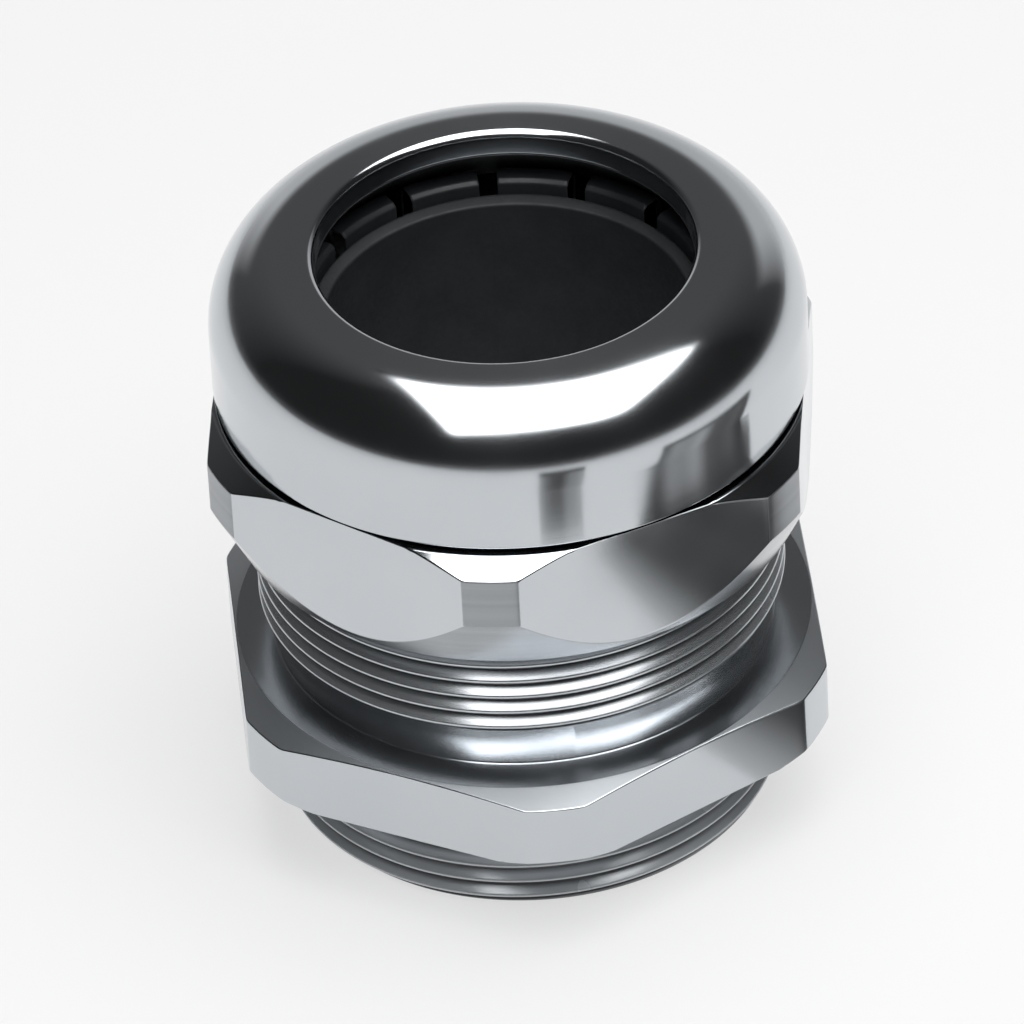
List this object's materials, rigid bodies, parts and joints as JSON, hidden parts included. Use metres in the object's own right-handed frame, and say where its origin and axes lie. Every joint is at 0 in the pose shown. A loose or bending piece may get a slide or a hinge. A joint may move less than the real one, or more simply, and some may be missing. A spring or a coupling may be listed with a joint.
{
  "type": "cable gland",
  "caption": "Metal cable gland with a hexagon collar, entry thread, domed hexagon cap nut, clamping fingers and a rubber seal; the nut screws down and closes the fingers.",
  "frame": {"origin": "centre of the entry thread's end face, on which the gland stands", "axes": "+Z along the gland's axis, from the entry thread to the cable opening; one corner of the hexagon collar points to -Y"},
  "size_m": [0.0488, 0.0506, 0.0501],
  "materials": {
    "plated_brass_body": "nickel-plated brass, turned, bright",
    "plated_brass_nut": "nickel-plated brass, turned and polished",
    "polyamide": "moulded black polyamide, satin",
    "slip_polyamide": "moulded black polyamide, smooth",
    "seal_rubber": "moulded black chloroprene rubber, matt",
    "o_ring_rubber": "black nitrile rubber, matt"
  },
  "bodies": {
    "gland_body": {"gland_body": "plated_brass_body", "entry_o_ring": "o_ring_rubber", "sealing_insert": "seal_rubber", "clamping_cage_ring": "polyamide"},
    "slip_ring": {"slip_ring": "slip_polyamide"},
    "dome_nut": {"dome_nut": "plated_brass_nut"},
    "clamping_finger_01": {"clamping_finger_01": "polyamide"},
    "clamping_finger_02": {"clamping_finger_02": "polyamide"},
    "clamping_finger_03": {"clamping_finger_03": "polyamide"},
    "clamping_finger_04": {"clamping_finger_04": "polyamide"},
    "clamping_finger_05": {"clamping_finger_05": "polyamide"},
    "clamping_finger_06": {"clamping_finger_06": "polyamide"},
    "clamping_finger_07": {"clamping_finger_07": "polyamide"},
    "clamping_finger_08": {"clamping_finger_08": "polyamide"},
    "clamping_finger_09": {"clamping_finger_09": "polyamide"},
    "clamping_finger_10": {"clamping_finger_10": "polyamide"},
    "clamping_finger_11": {"clamping_finger_11": "polyamide"},
    "clamping_finger_12": {"clamping_finger_12": "polyamide"},
    "clamping_finger_13": {"clamping_finger_13": "polyamide"},
    "clamping_finger_14": {"clamping_finger_14": "polyamide"}
  },
  "joints": [
    {"name": "nut_travel", "type": "slide", "parent": "gland_body", "child": "slip_ring", "axis": [0, 0, 1], "range_m": [-0.00398, 0.00005], "deforming": ["sealing_insert"]},
    {"name": "nut_turn", "type": "hinge", "parent": "slip_ring", "child": "dome_nut", "pos_m": [0, 0, 0.0385], "axis": [0, 0, 1], "range_deg": [-950, 0]},
    {"name": "finger_close_01", "type": "hinge", "parent": "gland_body", "child": "clamping_finger_01", "pos_m": [-0.00372, 0.01628, 0.0376], "axis": [0.9749, 0.2225, 0], "range_deg": [-0.2, 27.4]},
    {"name": "finger_close_02", "type": "hinge", "parent": "gland_body", "child": "clamping_finger_02", "pos_m": [-0.01041, 0.01306, 0.0376], "axis": [0.7818, 0.6235, 0], "range_deg": [-0.2, 27.4]},
    {"name": "finger_close_03", "type": "hinge", "parent": "gland_body", "child": "clamping_finger_03", "pos_m": [-0.01505, 0.00725, 0.0376], "axis": [0.4339, 0.901, 0], "range_deg": [-0.2, 27.4]},
    {"name": "finger_close_04", "type": "hinge", "parent": "gland_body", "child": "clamping_finger_04", "pos_m": [-0.0167, 0, 0.0376], "axis": [0, 1, 0], "range_deg": [-0.2, 27.4]},
    {"name": "finger_close_05", "type": "hinge", "parent": "gland_body", "child": "clamping_finger_05", "pos_m": [-0.01505, -0.00725, 0.0376], "axis": [-0.4339, 0.901, 0], "range_deg": [-0.2, 27.4]},
    {"name": "finger_close_06", "type": "hinge", "parent": "gland_body", "child": "clamping_finger_06", "pos_m": [-0.01041, -0.01306, 0.0376], "axis": [-0.7818, 0.6235, 0], "range_deg": [-0.2, 27.4]},
    {"name": "finger_close_07", "type": "hinge", "parent": "gland_body", "child": "clamping_finger_07", "pos_m": [-0.00372, -0.01628, 0.0376], "axis": [-0.9749, 0.2225, 0], "range_deg": [-0.2, 27.4]},
    {"name": "finger_close_08", "type": "hinge", "parent": "gland_body", "child": "clamping_finger_08", "pos_m": [0.00372, -0.01628, 0.0376], "axis": [-0.9749, -0.2225, 0], "range_deg": [-0.2, 27.4]},
    {"name": "finger_close_09", "type": "hinge", "parent": "gland_body", "child": "clamping_finger_09", "pos_m": [0.01041, -0.01306, 0.0376], "axis": [-0.7818, -0.6235, 0], "range_deg": [-0.2, 27.4]},
    {"name": "finger_close_10", "type": "hinge", "parent": "gland_body", "child": "clamping_finger_10", "pos_m": [0.01505, -0.00725, 0.0376], "axis": [-0.4339, -0.901, 0], "range_deg": [-0.2, 27.4]},
    {"name": "finger_close_11", "type": "hinge", "parent": "gland_body", "child": "clamping_finger_11", "pos_m": [0.0167, 0, 0.0376], "axis": [0, -1, 0], "range_deg": [-0.2, 27.4]},
    {"name": "finger_close_12", "type": "hinge", "parent": "gland_body", "child": "clamping_finger_12", "pos_m": [0.01505, 0.00725, 0.0376], "axis": [0.4339, -0.901, 0], "range_deg": [-0.2, 27.4]},
    {"name": "finger_close_13", "type": "hinge", "parent": "gland_body", "child": "clamping_finger_13", "pos_m": [0.01041, 0.01306, 0.0376], "axis": [0.7818, -0.6235, 0], "range_deg": [-0.2, 27.4]},
    {"name": "finger_close_14", "type": "hinge", "parent": "gland_body", "child": "clamping_finger_14", "pos_m": [0.00372, 0.01628, 0.0376], "axis": [0.9749, -0.2225, 0], "range_deg": [-0.2, 27.4]}
  ],
  "couplings": [
    {"joint": "nut_travel", "follows": "nut_turn", "m_per_rad": 0.00023873},
    {"joint": "finger_close_01", "follows": "nut_turn", "ratio": -0.0288},
    {"joint": "finger_close_02", "follows": "nut_turn", "ratio": -0.0288},
    {"joint": "finger_close_03", "follows": "nut_turn", "ratio": -0.0288},
    {"joint": "finger_close_04", "follows": "nut_turn", "ratio": -0.0288},
    {"joint": "finger_close_05", "follows": "nut_turn", "ratio": -0.0288},
    {"joint": "finger_close_06", "follows": "nut_turn", "ratio": -0.0288},
    {"joint": "finger_close_07", "follows": "nut_turn", "ratio": -0.0288},
    {"joint": "finger_close_08", "follows": "nut_turn", "ratio": -0.0288},
    {"joint": "finger_close_09", "follows": "nut_turn", "ratio": -0.0288},
    {"joint": "finger_close_10", "follows": "nut_turn", "ratio": -0.0288},
    {"joint": "finger_close_11", "follows": "nut_turn", "ratio": -0.0288},
    {"joint": "finger_close_12", "follows": "nut_turn", "ratio": -0.0288},
    {"joint": "finger_close_13", "follows": "nut_turn", "ratio": -0.0288},
    {"joint": "finger_close_14", "follows": "nut_turn", "ratio": -0.0288}
  ]
}
